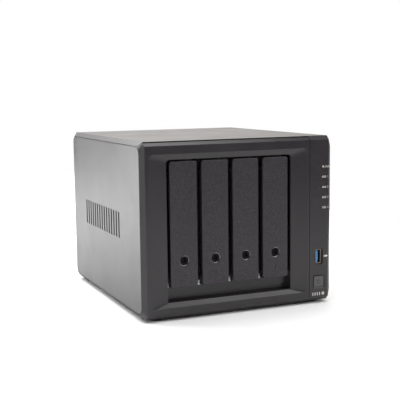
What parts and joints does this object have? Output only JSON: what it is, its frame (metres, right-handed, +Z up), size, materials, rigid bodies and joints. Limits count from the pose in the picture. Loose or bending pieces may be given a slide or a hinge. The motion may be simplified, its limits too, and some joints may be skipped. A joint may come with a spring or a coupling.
{
  "type": "network attached storage",
  "caption": "Desktop network storage box: upright sliding drive trays with hinged locking handles in a bevelled front, control strip with buttons and lights, rear fans.",
  "frame": {"origin": "middle of the footprint, on the plane the four rubber feet stand on", "axes": "+Z up, -Y towards the front with the drive trays, +X towards the control strip"},
  "size_m": [0.199, 0.223, 0.166],
  "materials": {
    "case_plastic": "fine textured moulded ABS",
    "bezel_plastic": "fine textured moulded ABS",
    "handle_plastic": "coarse textured moulded ABS",
    "tray_plastic": "plain moulded ABS",
    "latch_plastic": "plain moulded acetal",
    "button_plastic": "satin moulded ABS",
    "smoked_lens": "smoked clear polycarbonate",
    "rubber": "moulded rubber",
    "socket_steel": "nickel plated sheet",
    "usb_blue": "moulded nylon",
    "circuit_board": "solder mask over glass fibre board",
    "black_plastic": "moulded nylon",
    "zinc_steel": "zinc coated steel sheet",
    "rear_steel": "powder coated steel sheet",
    "fan_plastic": "moulded PBT",
    "heatsink_aluminium": "extruded and anodised",
    "screw_steel": "black zinc plated",
    "pin_steel": "drawn steel wire",
    "lock_metal": "black plated zinc die casting",
    "drive_casting": "die cast aluminium"
  },
  "bodies": {
    "root": {"top_cover": "case_plastic", "left_side_panel": "case_plastic", "right_side_panel": "case_plastic", "base_pan": "case_plastic", "service_lids": "case_plastic", "front_bezel": "bezel_plastic", "control_strip": "bezel_plastic", "indicator_lenses": "smoked_lens", "rubber_feet": "rubber", "usb_front_shell": "socket_steel", "usb_rear_port": "socket_steel", "usb_front_tongue": "usb_blue", "front_board": "circuit_board", "backplane_board": "circuit_board", "mainboard": "circuit_board", "memory_module": "circuit_board", "power_switch": "black_plastic", "drive_sockets": "black_plastic", "esata_port": "black_plastic", "power_inlet": "black_plastic", "lan_ports": "black_plastic", "drive_cage": "zinc_steel", "rear_panel": "rear_steel", "fan_frame_left": "fan_plastic", "fan_frame_right": "fan_plastic", "heatsink": "heatsink_aluminium", "fan_screws": "screw_steel", "machine_screws": "screw_steel"},
    "tray_1": {"tray_frame_1": "tray_plastic", "drive_clips_1": "latch_plastic", "hard_drive_1": "drive_casting"},
    "handle_1": {"tray_handle_1": "handle_plastic", "handle_pin_1": "pin_steel"},
    "latch_1": {"handle_latch_1": "latch_plastic"},
    "lock_1": {"tray_lock_1": "lock_metal"},
    "tray_2": {"tray_frame_2": "tray_plastic", "drive_clips_2": "latch_plastic", "hard_drive_2": "drive_casting"},
    "handle_2": {"tray_handle_2": "handle_plastic", "handle_pin_2": "pin_steel"},
    "latch_2": {"handle_latch_2": "latch_plastic"},
    "lock_2": {"tray_lock_2": "lock_metal"},
    "tray_3": {"tray_frame_3": "tray_plastic", "drive_clips_3": "latch_plastic", "hard_drive_3": "drive_casting"},
    "handle_3": {"tray_handle_3": "handle_plastic", "handle_pin_3": "pin_steel"},
    "latch_3": {"handle_latch_3": "latch_plastic"},
    "lock_3": {"tray_lock_3": "lock_metal"},
    "tray_4": {"tray_frame_4": "tray_plastic", "drive_clips_4": "latch_plastic", "hard_drive_4": "drive_casting"},
    "handle_4": {"tray_handle_4": "handle_plastic", "handle_pin_4": "pin_steel"},
    "latch_4": {"handle_latch_4": "latch_plastic"},
    "lock_4": {"tray_lock_4": "lock_metal"},
    "power_button": {"power_button": "button_plastic"},
    "reset_button": {"reset_button": "button_plastic"},
    "fan_rotor_left": {"fan_rotor_left": "fan_plastic"},
    "fan_rotor_right": {"fan_rotor_right": "fan_plastic"}
  },
  "joints": [
    {"name": "tray_slide_1", "type": "slide", "parent": "root", "child": "tray_1", "axis": [0, -1, 0], "range_m": [0, 0.175]},
    {"name": "handle_hinge_1", "type": "hinge", "parent": "tray_1", "child": "handle_1", "pos_m": [-0.05755, -0.1035, 0.1365], "axis": [-1, 0, 0], "range_deg": [0, 50]},
    {"name": "latch_squeeze_1", "type": "slide", "parent": "handle_1", "child": "latch_1", "axis": [0, 0, 1], "range_m": [0, 0.002], "stiffness_N_per_m": 300, "springref_m": -0.001},
    {"name": "lock_turn_1", "type": "hinge", "parent": "handle_1", "child": "lock_1", "pos_m": [-0.05755, -0.105, 0.055], "axis": [0, 1, 0], "range_deg": [0, 90]},
    {"name": "tray_slide_2", "type": "slide", "parent": "root", "child": "tray_2", "axis": [0, -1, 0], "range_m": [0, 0.175]},
    {"name": "handle_hinge_2", "type": "hinge", "parent": "tray_2", "child": "handle_2", "pos_m": [-0.02585, -0.1035, 0.1365], "axis": [-1, 0, 0], "range_deg": [0, 50]},
    {"name": "latch_squeeze_2", "type": "slide", "parent": "handle_2", "child": "latch_2", "axis": [0, 0, 1], "range_m": [0, 0.002], "stiffness_N_per_m": 300, "springref_m": -0.001},
    {"name": "lock_turn_2", "type": "hinge", "parent": "handle_2", "child": "lock_2", "pos_m": [-0.02585, -0.105, 0.055], "axis": [0, 1, 0], "range_deg": [0, 90]},
    {"name": "tray_slide_3", "type": "slide", "parent": "root", "child": "tray_3", "axis": [0, -1, 0], "range_m": [0, 0.175]},
    {"name": "handle_hinge_3", "type": "hinge", "parent": "tray_3", "child": "handle_3", "pos_m": [0.00585, -0.1035, 0.1365], "axis": [-1, 0, 0], "range_deg": [0, 50]},
    {"name": "latch_squeeze_3", "type": "slide", "parent": "handle_3", "child": "latch_3", "axis": [0, 0, 1], "range_m": [0, 0.002], "stiffness_N_per_m": 300, "springref_m": -0.001},
    {"name": "lock_turn_3", "type": "hinge", "parent": "handle_3", "child": "lock_3", "pos_m": [0.00585, -0.105, 0.055], "axis": [0, 1, 0], "range_deg": [0, 90]},
    {"name": "tray_slide_4", "type": "slide", "parent": "root", "child": "tray_4", "axis": [0, -1, 0], "range_m": [0, 0.175]},
    {"name": "handle_hinge_4", "type": "hinge", "parent": "tray_4", "child": "handle_4", "pos_m": [0.03755, -0.1035, 0.1365], "axis": [-1, 0, 0], "range_deg": [0, 50]},
    {"name": "latch_squeeze_4", "type": "slide", "parent": "handle_4", "child": "latch_4", "axis": [0, 0, 1], "range_m": [0, 0.002], "stiffness_N_per_m": 300, "springref_m": -0.001},
    {"name": "lock_turn_4", "type": "hinge", "parent": "handle_4", "child": "lock_4", "pos_m": [0.03755, -0.105, 0.055], "axis": [0, 1, 0], "range_deg": [0, 90]},
    {"name": "power_press", "type": "slide", "parent": "root", "child": "power_button", "axis": [0, 1, 0], "range_m": [0, 0.0012], "stiffness_N_per_m": 500, "springref_m": -0.0008},
    {"name": "reset_press", "type": "slide", "parent": "root", "child": "reset_button", "axis": [0, -1, 0], "range_m": [0, 0.0008], "stiffness_N_per_m": 500, "springref_m": -0.0008},
    {"name": "fan_spin_left", "type": "hinge", "parent": "root", "child": "fan_rotor_left", "pos_m": [-0.0463, 0.0968, 0.106], "axis": [0, 1, 0], "continuous": true},
    {"name": "fan_spin_right", "type": "hinge", "parent": "root", "child": "fan_rotor_right", "pos_m": [0.0463, 0.0968, 0.106], "axis": [0, 1, 0], "continuous": true}
  ]
}
